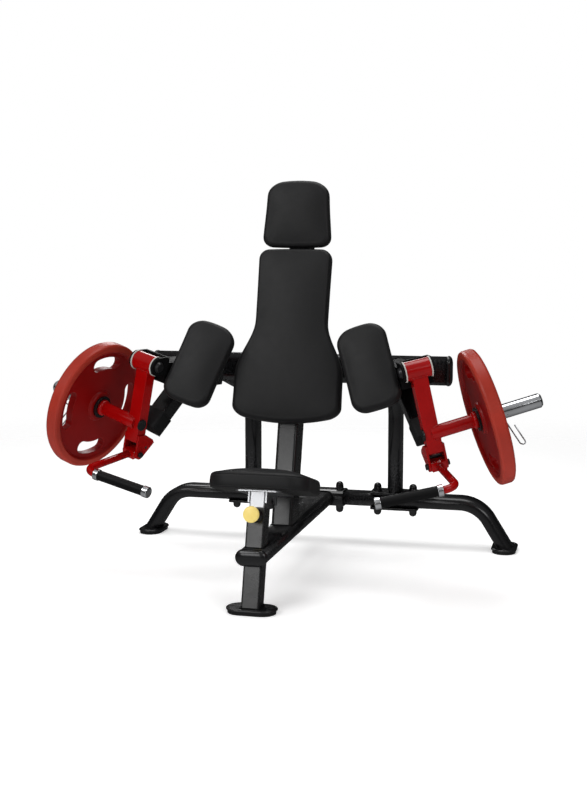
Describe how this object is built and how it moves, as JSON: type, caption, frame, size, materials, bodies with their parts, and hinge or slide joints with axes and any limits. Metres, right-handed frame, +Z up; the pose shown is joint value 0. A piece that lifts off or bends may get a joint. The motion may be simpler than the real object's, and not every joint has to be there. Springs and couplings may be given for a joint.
{
  "type": "biceps curl machine",
  "caption": "Plate-loaded seated biceps curl machine with independent canted arms, hinged handles, arm cushions, leaned back and head cushions and a height-adjustable seat.",
  "frame": {"origin": "middle of the footprint on the floor", "axes": "+Z up, the seat faces -Y, +X to the right of someone facing the machine"},
  "size_m": [1.7068, 1.131, 1.3535],
  "materials": {
    "black_paint": "satin powder coat",
    "red_paint": "gloss powder coat",
    "chrome": "polished",
    "steel": "zinc plated",
    "vinyl": "matte grained upholstery",
    "rubber": "matte",
    "plate_rubber": "red enamelled iron",
    "black_plastic": "moulded",
    "pale_plastic": "moulded bushing",
    "yellow_plastic": "moulded"
  },
  "bodies": {
    "frame": {"main_beam": "black_paint", "beam_cap": "black_plastic", "seat_column": "black_paint", "pull_housing": "black_plastic", "cross_sleeve": "black_paint", "left_leg": "black_paint", "right_leg": "black_paint", "front_foot": "black_paint", "left_foot": "black_paint", "right_foot": "black_paint", "foot_pads": "rubber", "centre_upright": "black_paint", "upright_cap": "black_plastic", "back_plates": "black_paint", "back_pad": "vinyl", "head_pad": "vinyl", "left_upright": "black_paint", "right_upright": "black_paint", "upright_bases": "black_paint", "frame_bolts": "steel", "bolt_caps": "black_plastic", "crossbar": "black_paint", "crossbar_caps": "black_plastic", "left_bracket": "black_paint", "right_bracket": "black_paint", "left_stop_post": "black_paint", "right_stop_post": "black_paint", "stop_caps": "rubber", "left_shaft": "steel", "right_shaft": "steel", "left_arm_plate": "black_paint", "right_arm_plate": "black_paint", "left_arm_pad": "vinyl", "right_arm_pad": "vinyl"},
    "seat": {"seat_post": "chrome", "seat_plate": "chrome", "seat_pad": "vinyl"},
    "pull_pin": {"pull_pin": "steel", "pull_knob": "yellow_plastic"},
    "left_arm": {"left_lever": "red_paint", "left_bushings": "pale_plastic", "left_horn": "chrome", "left_horn_ends": "black_plastic", "left_clevis": "red_paint", "left_hinge_pins": "steel"},
    "left_handle": {"left_rod": "red_paint", "left_grip": "rubber"},
    "left_weight": {"left_plate": "plate_rubber"},
    "left_clip": {"left_collar": "steel"},
    "right_arm": {"right_lever": "red_paint", "right_bushings": "pale_plastic", "right_horn": "chrome", "right_horn_ends": "black_plastic", "right_clevis": "red_paint", "right_hinge_pins": "steel"},
    "right_handle": {"right_rod": "red_paint", "right_grip": "rubber"},
    "right_weight": {"right_plate": "plate_rubber"},
    "right_clip": {"right_collar": "steel"}
  },
  "joints": [
    {"name": "seat_height", "type": "slide", "parent": "frame", "child": "seat", "axis": [0, 0.2588, 0.9659], "range_m": [-0.012, 0.1]},
    {"name": "pull_pin_slide", "type": "slide", "parent": "frame", "child": "pull_pin", "axis": [0, -0.9659, 0.2588], "range_m": [0, 0.012], "stiffness_N_per_m": 900, "springref_m": -0.006},
    {"name": "right_curl", "type": "hinge", "parent": "frame", "child": "right_arm", "pos_m": [0.459, -0.1915, 0.7395], "axis": [-0.9034, -0.365, -0.225], "range_deg": [0, 110]},
    {"name": "right_handle_hinge", "type": "hinge", "parent": "right_arm", "child": "right_handle", "pos_m": [0.52553, -0.16462, 0.42868], "axis": [-0.9034, -0.365, -0.225], "range_deg": [0, 45]},
    {"name": "right_plate_slide", "type": "slide", "parent": "right_arm", "child": "right_weight", "axis": [0.913, 0.2901, 0.2868], "range_m": [0, 0.3]},
    {"name": "right_clip_slide", "type": "slide", "parent": "right_weight", "child": "right_clip", "axis": [0.913, 0.2901, 0.2868], "range_m": [0, 0.2]},
    {"name": "left_curl", "type": "hinge", "parent": "frame", "child": "left_arm", "pos_m": [-0.459, -0.1915, 0.7395], "axis": [-0.9034, 0.365, 0.225], "range_deg": [0, 110]},
    {"name": "left_handle_hinge", "type": "hinge", "parent": "left_arm", "child": "left_handle", "pos_m": [-0.52553, -0.16462, 0.42868], "axis": [-0.9034, 0.365, 0.225], "range_deg": [0, 45]},
    {"name": "left_plate_slide", "type": "slide", "parent": "left_arm", "child": "left_weight", "axis": [-0.913, 0.2901, 0.2868], "range_m": [0, 0.3]},
    {"name": "left_clip_slide", "type": "slide", "parent": "left_weight", "child": "left_clip", "axis": [-0.913, 0.2901, 0.2868], "range_m": [0, 0.2]}
  ]
}
